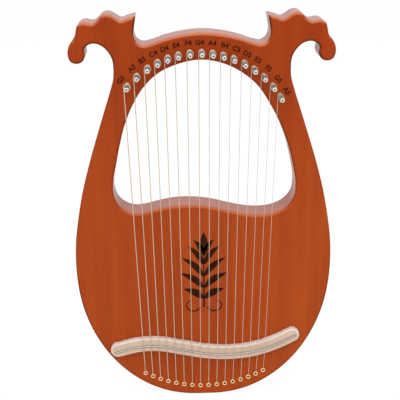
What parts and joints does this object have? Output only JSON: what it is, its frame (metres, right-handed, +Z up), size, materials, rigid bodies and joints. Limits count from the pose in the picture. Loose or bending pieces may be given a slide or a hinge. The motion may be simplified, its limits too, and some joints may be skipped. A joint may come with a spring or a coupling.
{
  "type": "lyre harp",
  "caption": "Small lyre harp with a pear-shaped hollow body, two arms with hooked horns, a yoke of turning pins, an S-shaped bridge and steel strings.",
  "frame": {"origin": "on the centre line at the lowest point of the tail, half way between the pin heads and the back", "axes": "+Z up the strings from the tail to the horns, -Y out of the face towards the player, -X the bass side"},
  "size_m": [0.2638, 0.056, 0.41],
  "materials": {
    "lacquered_wood": "satin lacquer over orange-brown stained wood",
    "brace_wood": "bare sawn wood",
    "bridge_wood": "pale wood, satin",
    "steel_wire": "drawn wire",
    "string_steel": "bright drawn wire",
    "gilt_brass": "bright, pale gold",
    "nickelled_steel": "bright nickel plate"
  },
  "bodies": {
    "lyre": {"soundboard": "lacquered_wood", "back_board": "lacquered_wood", "yoke_block": "lacquered_wood", "left_side": "lacquered_wood", "right_side": "lacquered_wood", "window_bar": "lacquered_wood", "tail_block": "lacquered_wood", "upper_face_brace": "brace_wood", "lower_face_brace": "brace_wood", "back_brace": "brace_wood", "bridge": "bridge_wood", "saddle_wire": "steel_wire", "eyelet_01": "gilt_brass", "eyelet_02": "gilt_brass", "eyelet_03": "gilt_brass", "eyelet_04": "gilt_brass", "eyelet_05": "gilt_brass", "eyelet_06": "gilt_brass", "eyelet_07": "gilt_brass", "eyelet_08": "gilt_brass", "eyelet_09": "gilt_brass", "eyelet_10": "gilt_brass", "eyelet_11": "gilt_brass", "eyelet_12": "gilt_brass", "eyelet_13": "gilt_brass", "eyelet_14": "gilt_brass", "eyelet_15": "gilt_brass", "eyelet_16": "gilt_brass", "string_01": "string_steel", "string_02": "string_steel", "string_03": "string_steel", "string_04": "string_steel", "string_05": "string_steel", "string_06": "string_steel", "string_07": "string_steel", "string_08": "string_steel", "string_09": "string_steel", "string_10": "string_steel", "string_11": "string_steel", "string_12": "string_steel", "string_13": "string_steel", "string_14": "string_steel", "string_15": "string_steel", "string_16": "string_steel"},
    "pin_01": {"tuning_pin_01": "nickelled_steel"},
    "pin_02": {"tuning_pin_02": "nickelled_steel"},
    "pin_03": {"tuning_pin_03": "nickelled_steel"},
    "pin_04": {"tuning_pin_04": "nickelled_steel"},
    "pin_05": {"tuning_pin_05": "nickelled_steel"},
    "pin_06": {"tuning_pin_06": "nickelled_steel"},
    "pin_07": {"tuning_pin_07": "nickelled_steel"},
    "pin_08": {"tuning_pin_08": "nickelled_steel"},
    "pin_09": {"tuning_pin_09": "nickelled_steel"},
    "pin_10": {"tuning_pin_10": "nickelled_steel"},
    "pin_11": {"tuning_pin_11": "nickelled_steel"},
    "pin_12": {"tuning_pin_12": "nickelled_steel"},
    "pin_13": {"tuning_pin_13": "nickelled_steel"},
    "pin_14": {"tuning_pin_14": "nickelled_steel"},
    "pin_15": {"tuning_pin_15": "nickelled_steel"},
    "pin_16": {"tuning_pin_16": "nickelled_steel"}
  },
  "joints": [
    {"name": "pin_turn_01", "type": "hinge", "parent": "lyre", "child": "pin_01", "pos_m": [-0.07308, -0.005, 0.34197], "axis": [0, 1, 0], "range_deg": [-1080, 90]},
    {"name": "pin_turn_02", "type": "hinge", "parent": "lyre", "child": "pin_02", "pos_m": [-0.06336, -0.005, 0.35161], "axis": [0, 1, 0], "range_deg": [-1080, 90]},
    {"name": "pin_turn_03", "type": "hinge", "parent": "lyre", "child": "pin_03", "pos_m": [-0.053, -0.005, 0.35928], "axis": [0, 1, 0], "range_deg": [-1080, 90]},
    {"name": "pin_turn_04", "type": "hinge", "parent": "lyre", "child": "pin_04", "pos_m": [-0.04313, -0.005, 0.36475], "axis": [0, 1, 0], "range_deg": [-1080, 90]},
    {"name": "pin_turn_05", "type": "hinge", "parent": "lyre", "child": "pin_05", "pos_m": [-0.03343, -0.005, 0.36872], "axis": [0, 1, 0], "range_deg": [-1080, 90]},
    {"name": "pin_turn_06", "type": "hinge", "parent": "lyre", "child": "pin_06", "pos_m": [-0.02335, -0.005, 0.37156], "axis": [0, 1, 0], "range_deg": [-1080, 90]},
    {"name": "pin_turn_07", "type": "hinge", "parent": "lyre", "child": "pin_07", "pos_m": [-0.01221, -0.005, 0.37333], "axis": [0, 1, 0], "range_deg": [-1080, 90]},
    {"name": "pin_turn_08", "type": "hinge", "parent": "lyre", "child": "pin_08", "pos_m": [-0.00093, -0.005, 0.37372], "axis": [0, 1, 0], "range_deg": [-1080, 90]},
    {"name": "pin_turn_09", "type": "hinge", "parent": "lyre", "child": "pin_09", "pos_m": [0.00951, -0.005, 0.37285], "axis": [0, 1, 0], "range_deg": [-1080, 90]},
    {"name": "pin_turn_10", "type": "hinge", "parent": "lyre", "child": "pin_10", "pos_m": [0.01979, -0.005, 0.37081], "axis": [0, 1, 0], "range_deg": [-1080, 90]},
    {"name": "pin_turn_11", "type": "hinge", "parent": "lyre", "child": "pin_11", "pos_m": [0.02976, -0.005, 0.36761], "axis": [0, 1, 0], "range_deg": [-1080, 90]},
    {"name": "pin_turn_12", "type": "hinge", "parent": "lyre", "child": "pin_12", "pos_m": [0.04003, -0.005, 0.36293], "axis": [0, 1, 0], "range_deg": [-1080, 90]},
    {"name": "pin_turn_13", "type": "hinge", "parent": "lyre", "child": "pin_13", "pos_m": [0.04965, -0.005, 0.35704], "axis": [0, 1, 0], "range_deg": [-1080, 90]},
    {"name": "pin_turn_14", "type": "hinge", "parent": "lyre", "child": "pin_14", "pos_m": [0.05908, -0.005, 0.34947], "axis": [0, 1, 0], "range_deg": [-1080, 90]},
    {"name": "pin_turn_15", "type": "hinge", "parent": "lyre", "child": "pin_15", "pos_m": [0.06795, -0.005, 0.34012], "axis": [0, 1, 0], "range_deg": [-1080, 90]},
    {"name": "pin_turn_16", "type": "hinge", "parent": "lyre", "child": "pin_16", "pos_m": [0.07543, -0.005, 0.32963], "axis": [0, 1, 0], "range_deg": [-1080, 90]}
  ]
}
